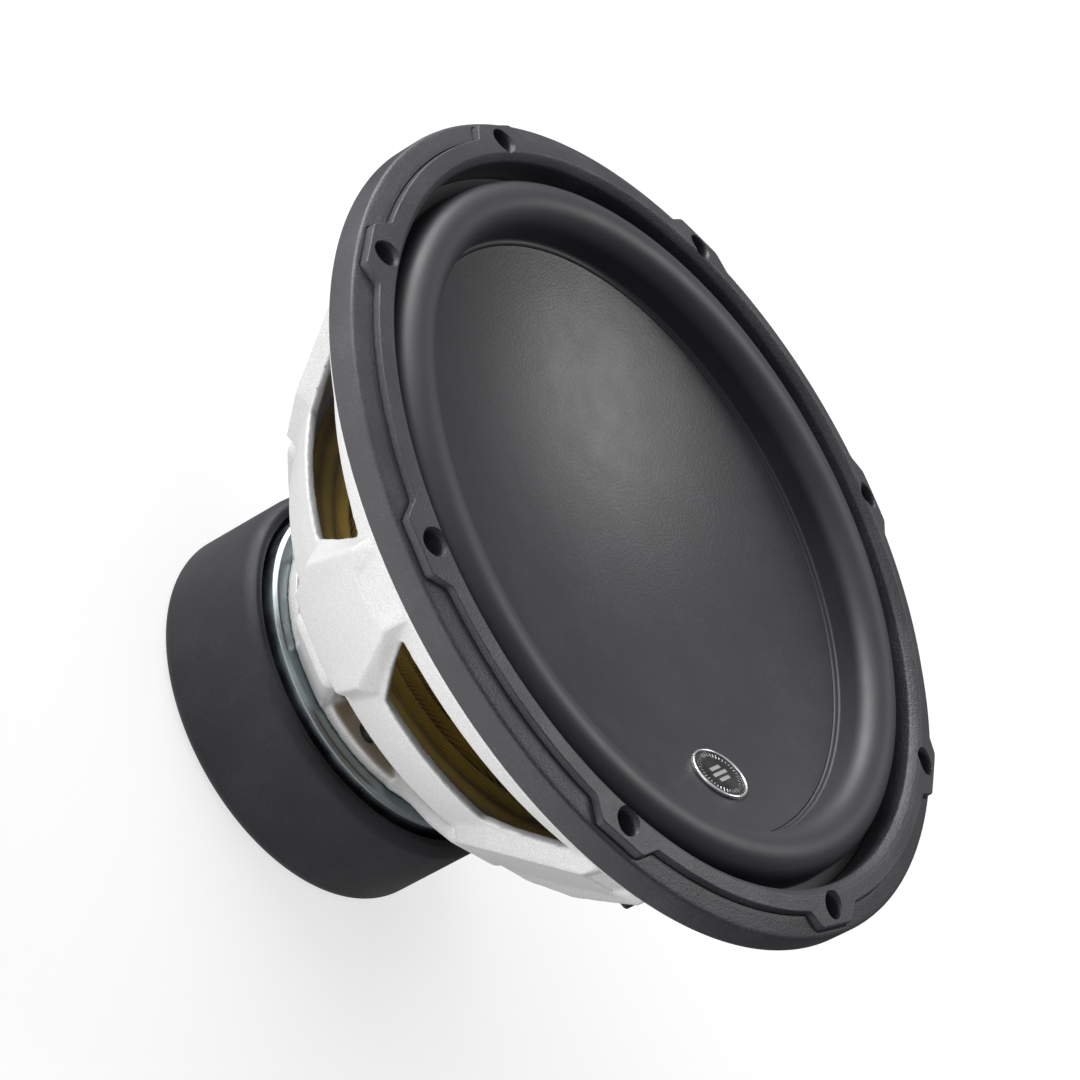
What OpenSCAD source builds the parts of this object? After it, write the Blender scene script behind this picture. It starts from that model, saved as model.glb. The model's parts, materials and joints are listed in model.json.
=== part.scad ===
// Long-throw car subwoofer: cast basket, rubber-trimmed flange, dished cone
// without a dust cap, and a ferrite motor inside a rubber boot.
// Upright, cone up, standing on the flat back of the boot. Millimetres.

/* [Mounting flange] */
// Diameter over the rubber trim ring
overall_d = 316.6; // [315:0.2:318]
// Diameter of the mounting screw circle
bolt_circle_d = 298; // [297:0.5:299]
// Number of mounting holes
bolt_count = 8; // [8:8:8]
// Diameter of a mounting hole in the basket
bolt_hole_d = 5.5; // [5:0.5:6]
// Overall height from the boot's back to the top of the trim ring
overall_h = 178; // [178:1:180]

/* [Cone and surround] */
// Radius of curvature of the dished cone
dish_curve_r = 253; // [245:1:265]
// Radius of the dish at the visible step to the surround
dish_r = 115.2; // [114.8:0.2:115.6]
// Wall of the dish
dish_wall = 2; // [1.5:0.1:2.2]
// Wall of the rubber surround
surround_wall = 1.4; // [1:0.1:1.6]
// Radius of the surround's half roll, to its outer face
roll_r = 9.2; // [9:0.1:9.4]

/* [Motor] */
// Outer diameter of the rubber boot
boot_d = 146; // [145:0.5:148]
// Outer diameter of the ferrite rings
magnet_d = 132; // [128:1:132]
// Outer diameter of the top plate
top_plate_d = 130; // [128:1:132]
// Inner diameter of the voice coil former
former_d = 61.2; // [61:0.1:61.3]
// Diameter of the vent through the pole
vent_d = 24; // [20:1:26]

/* [Basket] */
// Number of spokes, windows and feet
spoke_count = 6; // [6:6:6]
// Wall of the casting
basket_wall = 4; // [3.5:0.1:4.2]
// Azimuth of the first spoke
spoke_az = 30; // [30:30:30]

/* [Badge] */
// Radius of the small round badge
badge_r = 12; // [10:0.5:13]
// Distance of the badge from the axis
badge_at_r = 89; // [80:1:92]
// Azimuth of the badge
badge_az = 187; // [180:1:195]

/* [Hidden] */
$fn = 96;

// Shared fits
glue_gap = 0.05;
free_gap = 0.3;
eps = 0.5;

// Heights of the main planes
flange_top_z = overall_h - 17;
flange_t = 4;
flange_z = flange_top_z - flange_t;
base_z = 49.5;
base_t = 5;
ledge_z = 96;
ring_z = 74;

// Basket outline, outer face, from the flange down to the lower ring
neck_r = 141;
shoulder_r = 119;
shoulder_z = 118;
waist_r = 105.5;
waist_z = 98;
hem_r = 91;
hem_z = 78;
skirt_z = 86.5;
skirt_r = hem_r + (skirt_z - hem_z) * (waist_r - hem_r) / (waist_z - hem_z);
opening_r = 134;
ledge_r = 88;
flange_r = overall_d / 2 - 3.8;

// Windows
window_top_z = 136.5;
window_bottom_z = 108.5;
window_top_half = 46;
window_bottom_half = 26.5;
window_corner_r = 3;
window_from_r = 96;
window_to_r = 150;

// Feet and their base ring
lead_slot_in = 20;
lead_slot_w = 26;
lead_slot_h = 6;
lead_slot_z = 100.5;
foot_w = 24;
foot_in_r = 44;
base_r = 59;
base_bore_r = 38;
basket_screw_at_r = 50;

// Trim ring
ring_inner_r = neck_r;
plateau_r = 144.3;
groove_r = 150;
boss_r = 156;
boss_half_base = 6.1;
boss_half_top = 3.75;
trim_hole_r = 4.7;

// Dish
dish_centre_z = overall_h - 17.8 + sqrt(pow(dish_curve_r, 2) - pow(dish_r, 2));
rim_flange_z = 159.4;
rim_flange_t = 1.5;
roll_at_r = 126.5;
roll_z = overall_h - 0.2 - roll_r;
surround_foot_z = flange_top_z;
surround_foot_r = ring_inner_r - free_gap;

// Motor stack
boot_floor = 3;
yoke_t = 8;
magnet_z = boot_floor + yoke_t;
plate_t = 9.5;
plate_z = base_z - plate_t;
magnet_h = (plate_z - magnet_z) / 2;
boot_h = 45.4;
boot_wall = 6;
boot_round = 5;
former_r = former_d / 2;
pole_r = former_r - 0.6;
pole_neck_r = pole_r - 2;
pole_neck_top = 36.5;
pole_top_z = 52;
former_t = 0.5;
wire_layer = 1;
plate_bore_r = former_r + former_t + 2 * wire_layer + 0.5;
winding_h = 36;
winding_z = plate_z + plate_t / 2 - winding_h / 2;
collar_t = 0.8;
collar_r = former_r + former_t + collar_t;

// Support cone
support_neck_z = 104;
support_wall = 1.5;
support_top_r = 116;

// Spider
spider_t = 0.8;
spider_outer_r = 97;
spider_waves = 6;
spider_wave_h = 2.9;
spider_flat_in = 37;
spider_flat_out = 87;
spider_steps = 72;

// Terminals
terminal_az_a = 330;
terminal_az_b = 210;
pad_r = 104.5;
block_z = 72;
block_d = 15;
block_w = 38;
block_h = 20;
button_y = 9;
button_x = 8;
button_r = 4;
button_fit = 0.08;
button_bore_top = 16;
button_in = 8;
button_out = 4;
button_cap_r = 5.2;
button_cap_h = 1.9;
button_travel = 3;
wire_hole_r = 1.7;
wire_hole_z = 6;
spring_wire_r = 0.35;
spring_r = 2.8;
spring_turns = 5;
spring_rings = 12;
spring_sides = 6;

// Tinsel leads: distance from the axis, sideways place and height, by hand
lead_r = 1;
lead_route = [
  [111, 9, 94.1], [111.7, 9, 97.5], [111.7, 8.9, 100.7], [109.6, 8.7, 103.2], [104, 8.2, 103.8],
  [99, 7.8, 102.6], [94, 7.4, 101.6], [88, 7, 101.4], [76, 6.6, 101.4], [64, 6, 101.4],
  [52, 5.4, 101.4], [42, 5, 101.8], [36, 4.8, 103], [33.6, 4.6, 103.4]
];
lead_sides = 8;

function on_circle(r, a) = [r * cos(a), r * sin(a)];
function arc(cx, cy, r, a0, a1, n) = [for (i = [0 : n]) [cx, cy] + on_circle(r, a0 + (a1 - a0) * i / n)];

// Rounds one convex or concave corner b of an outline a-b-c
function unit(v) = v / norm(v);
function corner(a, b, c, r) =
  let (u = unit(a - b), w = unit(c - b), half = acos(u * w) / 2, back = r / tan(half),
       centre = b + unit(u + w) * r / sin(half), p = b + u * back, q = b + w * back,
       a0 = atan2(p[1] - centre[1], p[0] - centre[0]), a1 = atan2(q[1] - centre[1], q[0] - centre[0]),
       turn = a1 - a0 > 180 ? a1 - a0 - 360 : (a1 - a0 < -180 ? a1 - a0 + 360 : a1 - a0))
  [for (i = [0 : 5]) centre + on_circle(r, a0 + turn * i / 5)];
function rounded(p, r) =
  [for (i = [0 : len(p) - 1]) each corner(p[(i + len(p) - 1) % len(p)], p[i], p[(i + 1) % len(p)], r)];

module around(n, first) {
  for (i = [0 : n - 1]) rotate([0, 0, first + i * 360 / n]) children();
}

// Extrudes an outline drawn in the (distance, height) plane sideways
module rib(w) {
  rotate([90, 0, 0]) linear_extrude(height = w, center = true) children();
}

// Extrudes an outline drawn in the (sideways, height) plane outward
module outward(from_r, to_r) {
  translate([from_r, 0, 0]) rotate([90, 0, 90]) linear_extrude(height = to_r - from_r) children();
}

module tube(r_out, r_in, z, h) {
  translate([0, 0, z]) difference() {
    cylinder(r = r_out, h = h);
    translate([0, 0, -eps]) cylinder(r = r_in, h = h + 2 * eps);
  }
}

// ---- basket ----

module basket_wall_ring() {
  w = basket_wall;
  rotate_extrude($fn = 144) polygon([
    [flange_r, flange_top_z], [flange_r, flange_z + 1], [flange_r - 1, flange_z],
    [neck_r + 1.5, flange_z], [neck_r, flange_z - 1.5], [shoulder_r, shoulder_z],
    [waist_r, waist_z], [skirt_r, skirt_z], [skirt_r - 1.5, skirt_z - 2], [skirt_r - 5.5, skirt_z - 2],
    [skirt_r - 6.5, skirt_z - 1], [ledge_r, ledge_z - 5], [ledge_r, ledge_z],
    [waist_r - w - 2, ledge_z], [waist_r - w, waist_z + 2], [shoulder_r - w, shoulder_z],
    [opening_r, flange_z - 6], [opening_r, flange_top_z]
  ]);
}

module window_outline() {
  polygon(rounded([
    [-window_bottom_half, window_bottom_z], [window_bottom_half, window_bottom_z],
    [window_top_half, window_top_z], [-window_top_half, window_top_z]
  ], window_corner_r));
}

// Flat raised panel over one spoke, square to the wall's slope
module spoke_panel() {
  slope = atan2(shoulder_r - hem_r, shoulder_z - hem_z);
  length = 68;
  panel_t = 7;
  proud = 2.6;
  translate([hem_r, 0, hem_z]) rotate([0, slope, 0]) translate([proud - panel_t, 0, 0])
    rotate([90, 0, 90]) linear_extrude(height = panel_t) polygon([
      [-13, 7.5], [13, 7.5], [18.5, 12], [22.5, 32], [13, length],
      [-13, length], [-22.5, 32], [-18.5, 12]
    ]);
}

module foot() {
  rib(foot_w) polygon([
    [foot_in_r, base_z], [base_r - 1, base_z], [base_r + 1.5, base_z + 2.5], [base_r + 6, base_z + 9],
    [base_r + 14, base_z + 16.5], [base_r + 24, base_z + 24], [hem_r, ring_z + 3],
    [hem_r + 3, hem_z + 7], [ledge_r + 6, ledge_z - 3], [ledge_r + 1, ledge_z - 3],
    [hem_r - 10, ring_z + 3], [base_r - 4, base_z + 9], [foot_in_r, base_z + base_t]
  ]);
}

module terminal_pad() {
  pad_in = 12;
  pad_h = 20;
  translate([pad_r - pad_in, -block_w / 2 - 2, ring_z - 1.5]) cube([pad_in, block_w + 4, pad_h]);
}

module basket() {
  color("silver") difference() {
    union() {
      basket_wall_ring();
      intersection() {
        around(spoke_count, spoke_az) spoke_panel();
        tube(flange_r - 2, ledge_r - 6, ring_z, flange_z + 1 - ring_z);
      }
      around(spoke_count, spoke_az) foot();
      tube(base_r, base_bore_r, base_z, base_t);
      for (a = [terminal_az_a, terminal_az_b]) rotate([0, 0, a]) terminal_pad();
    }
    around(spoke_count, spoke_az + 180 / spoke_count) outward(window_from_r, window_to_r) window_outline();
    around(bolt_count, 0) translate([bolt_circle_d / 2, 0, flange_z - eps])
      cylinder(d = bolt_hole_d, h = flange_t + 2 * eps, $fn = 32);
    around(spoke_count, spoke_az + 180 / spoke_count) translate([basket_screw_at_r, 0, base_z - eps])
      cylinder(r = 2.75, h = base_t + 2 * eps, $fn = 32);
    // Inside of the wall and room for the spider's edge stay clear of the panels
    translate([0, 0, ledge_z]) cylinder(r1 = waist_r - basket_wall - 2, r2 = shoulder_r - basket_wall,
      h = shoulder_z - ledge_z, $fn = 144);
    translate([0, 0, shoulder_z - 0.01]) cylinder(r1 = shoulder_r - basket_wall, r2 = opening_r,
      h = flange_z - 6 - shoulder_z, $fn = 144);
    for (a = [terminal_az_a, terminal_az_b]) rotate([0, 0, a])
      translate([window_from_r, -lead_slot_w / 2, lead_slot_z]) cube([lead_slot_in, lead_slot_w, lead_slot_h]);
    for (a = [terminal_az_a, terminal_az_b]) rotate([0, 0, a])
      for (z = [6, 15]) translate([pad_r - 7, 0, block_z + z]) rotate([0, 90, 0]) cylinder(r = 1.5, h = 8, $fn = 24);
  }
}

// ---- trim ring on the flange ----

module boss_outline() {
  polygon([
    on_circle(plateau_r - 1, -boss_half_base), on_circle(groove_r, -boss_half_base),
    on_circle(boss_r, -boss_half_top), on_circle(boss_r + 0.3, 0), on_circle(boss_r, boss_half_top),
    on_circle(groove_r, boss_half_base), on_circle(plateau_r - 1, boss_half_base)
  ]);
}

module gasket() {
  edge_r = overall_d / 2;
  top = overall_h;
  color([0.16, 0.16, 0.17]) difference() {
    union() {
      rotate_extrude($fn = 144) polygon([
        [ring_inner_r, flange_top_z], [edge_r - 0.6, flange_top_z], [edge_r - 0.1, flange_top_z + 0.6],
        [edge_r, overall_h - 7.4], [edge_r - 0.8, overall_h - 6.5], [groove_r + 0.6, top - 3.6],
        [groove_r - 0.2, top - 3.6], [groove_r - 0.4, top - 1.2], [plateau_r + 1, top - 0.1],
        [plateau_r, top], [ring_inner_r + 1, top - 1.4], [ring_inner_r, top - 2.6]
      ]);
      intersection() {
        around(bolt_count, 0) translate([0, 0, top - 8]) linear_extrude(height = 10) boss_outline();
        rotate_extrude($fn = 144) polygon([
          [plateau_r, top - 8], [edge_r - 1, top - 8], [edge_r - 1, top - 2.6], [plateau_r + 1, top - 0.1],
          [plateau_r, top - 0.1]
        ]);
      }
    }
    around(bolt_count, 0) translate([bolt_circle_d / 2, 0, flange_top_z - eps])
      cylinder(r = trim_hole_r, h = 20, $fn = 48);
  }
}

// ---- moving parts ----

module surround() {
  w = surround_wall;
  r_in = roll_at_r - roll_r;
  r_out = roll_at_r + roll_r;
  foot_in = rim_flange_z + glue_gap;
  color([0.12, 0.12, 0.13]) rotate_extrude($fn = 144) polygon(concat(
    [[dish_r + 0.2, foot_in], [r_in + w, foot_in]],
    arc(roll_at_r, roll_z, roll_r - w, 180, 0, 16),
    [[r_out - w, surround_foot_z], [surround_foot_r, surround_foot_z],
     [surround_foot_r, surround_foot_z + w], [r_out, surround_foot_z + w]],
    arc(roll_at_r, roll_z, roll_r, 0, 180, 20),
    [[r_in, foot_in + w], [dish_r + 0.9, foot_in + w]]
  ));
}

module dish_cone() {
  r = dish_curve_r;
  a_edge = asin(dish_r / r);
  steps = 20;
  flange_out_r = roll_at_r - roll_r + surround_wall;
  upper = [for (i = [0 : steps]) [r * sin(a_edge * i / steps), dish_centre_z - r * cos(a_edge * i / steps)]];
  lower = [for (i = [steps - 1 : -1 : 0])
    [(r + dish_wall) * sin(a_edge * i / steps), dish_centre_z - (r + dish_wall) * cos(a_edge * i / steps)]];
  color([0.2, 0.2, 0.21]) rotate_extrude($fn = 144) polygon(concat(
    upper, [[dish_r, rim_flange_z], [flange_out_r, rim_flange_z], [flange_out_r, rim_flange_z - rim_flange_t]],
    [[dish_r - 2, rim_flange_z - rim_flange_t]], lower
  ));
}

module support_cone() {
  neck = collar_r + glue_gap;
  top_z = rim_flange_z - rim_flange_t - glue_gap;
  s = support_wall;
  color([0.13, 0.13, 0.13]) rotate_extrude($fn = 144) polygon([
    [neck, support_neck_z], [neck + s, support_neck_z], [neck + s, support_neck_z + 5],
    [support_top_r - 5, top_z - s - 2.4], [support_top_r, top_z - s], [support_top_r, top_z],
    [support_top_r - 2.2, top_z], [support_top_r - 9, top_z - 5.6], [neck, support_neck_z + 7]
  ]);
}

module on_dish() {
  tilt = asin(badge_at_r / dish_curve_r);
  translate([0, 0, dish_centre_z]) rotate([0, 0, badge_az]) rotate([0, -tilt, 0])
    translate([0, 0, -sqrt(pow(dish_curve_r, 2) - pow(badge_r, 2)) + 0.12]) children();
}

module badge_bezel() {
  color("gainsboro") on_dish() rotate_extrude() polygon([
    [badge_r - 1.2, 0], [badge_r, 0], [badge_r, 0.9], [badge_r - 0.3, 1.3], [badge_r - 0.8, 1.4],
    [badge_r - 1.2, 1.1]
  ]);
}

module badge_face() {
  color([0.1, 0.1, 0.1]) on_dish() union() {
    cylinder(r = badge_r - 1.2 - glue_gap, h = 0.8);
    tube(badge_r * 0.6, badge_r * 0.52, 0.7, 0.4);
    tube(badge_r * 0.3, badge_r * 0.2, 0.7, 0.4);
  }
}

module coil_former() {
  under_dish = dish_centre_z - sqrt(pow(dish_curve_r + dish_wall, 2) - pow(former_r + former_t, 2));
  color("peru") tube(former_r + former_t, former_r, winding_z - 0.75, under_dish - 0.4 - winding_z + 0.75);
}

module former_collar() {
  r_in = former_r + former_t + 0.02;
  color("saddlebrown") tube(collar_r, r_in, winding_z + winding_h + 1.2, 112 - winding_z - winding_h - 1.2);
}

module winding(layer) {
  r_in = former_r + former_t + layer * wire_layer;
  ridges = 24;
  pitch = winding_h / ridges;
  rotate_extrude() polygon(concat(
    [[r_in + 0.02, winding_z], [r_in + 0.02, winding_z + winding_h]],
    [for (i = [ridges - 1 : -1 : 0]) each [
      [r_in + wire_layer - 0.1, winding_z + (i + 1) * pitch],
      [r_in + wire_layer, winding_z + (i + 0.5) * pitch]
    ]],
    [[r_in + wire_layer - 0.1, winding_z]]
  ));
}

module winding_inner() {
  color("orangered") winding(0);
}

module winding_outer() {
  color("chocolate") winding(1);
}

function spider_height(r) =
  r <= spider_flat_in || r >= spider_flat_out ? 0 :
  let (u = (r - spider_flat_in) / (spider_flat_out - spider_flat_in))
  spider_wave_h * sin(360 * spider_waves * u) * min(1, 6 * u, 6 * (1 - u));

module spider() {
  r_in = collar_r + glue_gap;
  rs = [for (i = [0 : spider_steps]) r_in + (spider_outer_r - r_in) * i / spider_steps];
  color([0.55, 0.45, 0.12]) rotate_extrude($fn = 96) polygon(concat(
    [for (r = rs) [r, ledge_z + spider_height(r)]],
    [for (i = [spider_steps : -1 : 0]) [rs[i], ledge_z + spider_t + spider_height(rs[i])]]
  ));
}

// ---- motor ----

module top_plate() {
  r = top_plate_d / 2;
  color([0.62, 0.68, 0.7]) difference() {
    rotate_extrude() polygon([
      [plate_bore_r, plate_z], [r, plate_z], [r, base_z - 1.5], [r - 1.5, base_z], [plate_bore_r, base_z]
    ]);
    around(spoke_count, spoke_az + 180 / spoke_count) translate([basket_screw_at_r, 0, plate_z + 1.5])
      cylinder(r = 2.5, h = plate_t, $fn = 32);
  }
}

module magnet(z) {
  r = magnet_d / 2;
  b = plate_bore_r + 2.4;
  color([0.2, 0.2, 0.2]) rotate_extrude() polygon([
    [b, z], [r - 1, z], [r, z + 1], [r, z + magnet_h - 1], [r - 1, z + magnet_h], [b, z + magnet_h]
  ]);
}

module magnet_front() {
  magnet(magnet_z + magnet_h);
}

module magnet_rear() {
  magnet(magnet_z);
}

module t_yoke() {
  color([0.6, 0.62, 0.63]) rotate_extrude() polygon([
    [vent_d / 2, boot_floor], [60.5, boot_floor], [62, boot_floor + 1.5], [62, magnet_z],
    [pole_neck_r, magnet_z], [pole_neck_r, pole_neck_top], [pole_r, pole_neck_top],
    [pole_r, pole_top_z - 1], [pole_r - 1, pole_top_z], [vent_d / 2 + 3, pole_top_z],
    [vent_d / 2, pole_top_z - 3]
  ]);
}

module shorting_ring() {
  color("goldenrod") tube(pole_r - 0.05, pole_neck_r + 0.05, magnet_z, pole_neck_top - magnet_z - 0.1);
}

module magnet_boot() {
  r = boot_d / 2;
  inner = r - boot_wall;
  mouth = vent_d / 2 + 2;
  color([0.17, 0.17, 0.18]) rotate_extrude($fn = 144) polygon(concat(
    [[mouth, boot_floor], [mouth, 1], [mouth + 1, 0]],
    arc(r - boot_round, boot_round, boot_round, 270, 360, 12),
    [[r, boot_h - 2.6], [r - 0.9, boot_h - 0.9], [r - 2.6, boot_h], [inner + 0.6, boot_h],
     [inner, boot_h - 0.6], [inner, boot_floor]]
  ));
}

module vent_screen() {
  r = vent_d / 2 - glue_gap;
  pitch = 3.6;
  color([0.1, 0.1, 0.1]) difference() {
    translate([0, 0, boot_floor + 0.6]) cylinder(r = r, h = 1);
    for (i = [-3 : 3], j = [-3 : 3])
      let (x = pitch * (i + j / 2), y = pitch * j * sqrt(3) / 2)
      if (norm([x, y]) < r - 1.8) translate([x, y, boot_floor]) cylinder(r = 1.2, h = 2, $fn = 16);
  }
}

module basket_screws() {
  seat = base_z + base_t;
  color("dimgray") around(spoke_count, spoke_az + 180 / spoke_count) translate([basket_screw_at_r, 0, 0])
    difference() {
      union() {
        translate([0, 0, plate_z + 2]) cylinder(r = 2.45, h = seat - plate_z - 1.5, $fn = 32);
        translate([0, 0, seat]) cylinder(r = 4.2, h = 4.4, $fn = 32);
      }
      translate([0, 0, seat + 1.8]) cylinder(r = 2.3, h = 4, $fn = 6);
    }
}

// ---- terminals, in a frame on the pad: outward, sideways, up ----

module at_terminal(az) {
  rotate([0, 0, az]) translate([pad_r, 0, block_z]) children();
}

module terminal_block() {
  half = block_w / 2;
  color([0.1, 0.1, 0.1]) difference() {
    translate([0.05, 0, 0]) linear_extrude(height = block_h) polygon(concat(
      [[0, -half], [block_d - 3, -half]], arc(block_d - 3, 3 - half, 3, 270, 360, 5),
      arc(block_d - 3, half - 3, 3, 0, 90, 5), [[0, half]]
    ));
    for (side = [-1, 1]) translate([button_x, side * button_y, 0]) {
      translate([0, 0, -eps]) cylinder(r = button_r, h = button_bore_top + eps, $fn = 48);
      translate([-5, 0, wire_hole_z]) rotate([0, 90, 0]) cylinder(r = wire_hole_r, h = 20, $fn = 32);
    }
    for (z = [6, 15]) translate([-1, 0, z]) rotate([0, 90, 0]) {
      cylinder(r = 1.6, h = block_d + 3, $fn = 24);
      translate([0, 0, block_d - 1]) cylinder(r = 3.1, h = 4, $fn = 32);
    }
  }
}

module terminal_block_a() {
  at_terminal(terminal_az_a) terminal_block();
}

module terminal_block_b() {
  at_terminal(terminal_az_b) terminal_block();
}

module terminal_screws() {
  color("lightgray") for (a = [terminal_az_a, terminal_az_b], z = [6, 15])
    at_terminal(a) translate([-6, 0, z]) rotate([0, 90, 0]) difference() {
      union() {
        cylinder(r = 1.42, h = block_d + 5, $fn = 24);
        translate([0, 0, block_d + 4.1]) cylinder(r = 2.8, h = 1.8, $fn = 32);
      }
      translate([0, 0, block_d + 5]) cylinder(r = 1.2, h = 2, $fn = 6);
    }
}

module terminal_lugs() {
  color("gold") for (side = [-1, 1]) translate([0, side * button_y, block_h]) union() {
    translate([1.5, -3, 0]) cube([10, 6, 0.8]);
    translate([4.4, -1.8, 0.7]) cube([4.2, 3.6, 0.4]);
  }
}

module terminal_lugs_a() {
  at_terminal(terminal_az_a) terminal_lugs();
}

module terminal_lugs_b() {
  at_terminal(terminal_az_b) terminal_lugs();
}

module push_button() {
  r = button_r - button_fit;
  difference() {
    union() {
      translate([0, 0, -button_out]) cylinder(r = r, h = button_out + button_in, $fn = 48);
      translate([0, 0, -button_out - button_cap_h + 0.4]) cylinder(r = button_cap_r, h = button_cap_h - 0.4, $fn = 48);
    }
    translate([-10, 0, wire_hole_z - button_travel]) rotate([0, 90, 0]) cylinder(r = wire_hole_r, h = 20, $fn = 32);
  }
}

module at_button(az, side) {
  at_terminal(az) translate([button_x, side * button_y, 0]) children();
}

module button_a_plus() {
  color("firebrick") at_button(terminal_az_a, 1) push_button();
}

module button_a_minus() {
  color([0.08, 0.08, 0.08]) at_button(terminal_az_a, -1) push_button();
}

module button_b_plus() {
  color("firebrick") at_button(terminal_az_b, 1) push_button();
}

module button_b_minus() {
  color([0.08, 0.08, 0.08]) at_button(terminal_az_b, -1) push_button();
}

// Skins a list of rings, each a list of points, into one closed solid
module skin(rings) {
  sides = len(rings[0]);
  last = len(rings) - 1;
  polyhedron(
    points = [for (ring = rings) each ring],
    faces = concat(
      [[for (k = [sides - 1 : -1 : 0]) k]],
      [for (i = [0 : last - 1], k = [0 : sides - 1])
        let (n = (k + 1) % sides, lo = i * sides, hi = lo + sides) [lo + k, lo + n, hi + n, hi + k]],
      [[for (k = [0 : sides - 1]) last * sides + k]]
    ), convexity = 10);
}

module button_spring() {
  count = spring_turns * spring_rings;
  bottom = button_in + spring_wire_r + 0.1;
  top = button_bore_top - spring_wire_r - 0.1;
  skin([for (i = [0 : count])
    let (a = 360 * i / spring_rings, z = bottom + (top - bottom) * i / count)
    [for (k = [0 : spring_sides - 1])
      let (b = 360 * k / spring_sides, r = spring_r + spring_wire_r * cos(b))
      [r * cos(a), r * sin(a), z - spring_wire_r * sin(b)]]]);
}

module spring_a_plus() {
  color("silver") at_button(terminal_az_a, 1) button_spring();
}

module spring_a_minus() {
  color("silver") at_button(terminal_az_a, -1) button_spring();
}

module spring_b_plus() {
  color("silver") at_button(terminal_az_b, 1) button_spring();
}

module spring_b_minus() {
  color("silver") at_button(terminal_az_b, -1) button_spring();
}

// Each lead bends in an upright plane, so its rings turn about the sideways axis only
module lead(side) {
  last = len(lead_route) - 1;
  skin([for (i = [0 : last])
    let (p = lead_route[i], a = lead_route[max(i - 1, 0)], b = lead_route[min(i + 1, last)],
         d = unit([b[0] - a[0], b[2] - a[2]]))
    [for (k = [0 : lead_sides - 1])
      let (t = 360 * k / lead_sides)
      [p[0] + lead_r * cos(t) * d[1], side * p[1] + lead_r * sin(t), p[2] - lead_r * cos(t) * d[0]]]]);
}

module tinsel_leads(az) {
  color([0.7, 0.5, 0.3]) for (side = [-1, 1]) rotate([0, 0, az]) lead(side);
}

module tinsel_leads_a() {
  tinsel_leads(terminal_az_a);
}

module tinsel_leads_b() {
  tinsel_leads(terminal_az_b);
}

basket();
gasket();
surround();
dish_cone();
support_cone();
badge_bezel();
badge_face();
spider();
coil_former();
former_collar();
winding_inner();
winding_outer();
top_plate();
magnet_front();
magnet_rear();
t_yoke();
shorting_ring();
magnet_boot();
vent_screen();
basket_screws();
terminal_block_a();
terminal_block_b();
terminal_screws();
terminal_lugs_a();
terminal_lugs_b();
tinsel_leads_a();
tinsel_leads_b();
button_a_plus();
button_a_minus();
button_b_plus();
button_b_minus();
spring_a_plus();
spring_a_minus();
spring_b_plus();
spring_b_minus();
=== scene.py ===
import json
import math

import bmesh
import bpy
from mathutils import Matrix, Vector


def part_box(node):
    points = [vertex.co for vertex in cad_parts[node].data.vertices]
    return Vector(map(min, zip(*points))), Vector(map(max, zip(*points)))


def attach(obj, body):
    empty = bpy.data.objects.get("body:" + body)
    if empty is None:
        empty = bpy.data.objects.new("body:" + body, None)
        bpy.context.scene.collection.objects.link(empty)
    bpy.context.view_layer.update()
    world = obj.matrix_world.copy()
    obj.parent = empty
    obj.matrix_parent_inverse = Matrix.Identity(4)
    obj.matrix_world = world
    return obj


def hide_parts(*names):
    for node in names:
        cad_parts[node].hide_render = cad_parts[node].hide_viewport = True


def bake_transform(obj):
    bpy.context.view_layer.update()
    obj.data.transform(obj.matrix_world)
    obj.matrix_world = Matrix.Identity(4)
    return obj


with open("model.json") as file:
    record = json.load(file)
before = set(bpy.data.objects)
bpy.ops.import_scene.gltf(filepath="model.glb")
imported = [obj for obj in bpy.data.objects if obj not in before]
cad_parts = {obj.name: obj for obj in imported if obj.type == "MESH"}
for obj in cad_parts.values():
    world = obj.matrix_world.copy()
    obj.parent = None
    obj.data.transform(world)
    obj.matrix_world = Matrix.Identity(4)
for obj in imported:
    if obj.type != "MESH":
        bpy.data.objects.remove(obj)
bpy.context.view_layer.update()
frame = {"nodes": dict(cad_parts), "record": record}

MM = 0.001
CHASSIS = "chassis"
MOVING = "moving_assembly"


# ---- sizes read from the frame, in millimetres ----

def low_z(node):
    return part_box(node)[0].z / MM


def high_z(node):
    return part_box(node)[1].z / MM


def radius(node):
    """Outer radius of a round node; its box is a chord or two short of the true circle."""
    lo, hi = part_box(node)
    return max(hi.x - lo.x, hi.y - lo.y) / 2 / MM


FRONT_Z = high_z("gasket")
FLANGE_TOP = low_z("gasket")
TRIM_R = radius("gasket")
TRIM_BORE = 141.0
BOLT_R = frame["record"]["mounts"][0]["dims"]["pcd_mm"] / 2
BOLT_COUNT = frame["record"]["mounts"][0]["dims"]["count"]
SURROUND_TOP = high_z("surround")
RIM_Z = low_z("surround")
BASE_Z = high_z("top_plate")
PLATE_Z = low_z("top_plate")
LEDGE_Z = 96.0


# ---- outlines: lists of (radius, height) in millimetres ----

def arc(cx, cy, r, a0, a1, n):
    """Points along a circle from angle a0 to a1, in degrees."""
    angles = [math.radians(a0 + (a1 - a0) * i / n) for i in range(n + 1)]
    return [(cx + r * math.cos(a), cy + r * math.sin(a)) for a in angles]


def rounded(points, sizes, n=4):
    """Rounds each corner of a closed outline by the size in the list with the same index; 0 keeps it sharp."""
    out = []
    count = len(points)
    for i, size in enumerate(sizes):
        a, b, c = (Vector(points[(i + k) % count]) for k in (-1, 0, 1))
        if size <= 0:
            out.append(tuple(b))
            continue
        u, w = (a - b), (c - b)
        back = min(size, u.length * 0.45, w.length * 0.45)
        p, q = b + u.normalized() * back, b + w.normalized() * back
        for k in range(n + 1):
            t = k / n
            out.append(tuple(p * (1 - t) ** 2 + b * 2 * t * (1 - t) + q * t * t))
    return out


# ---- mesh building ----

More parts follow.
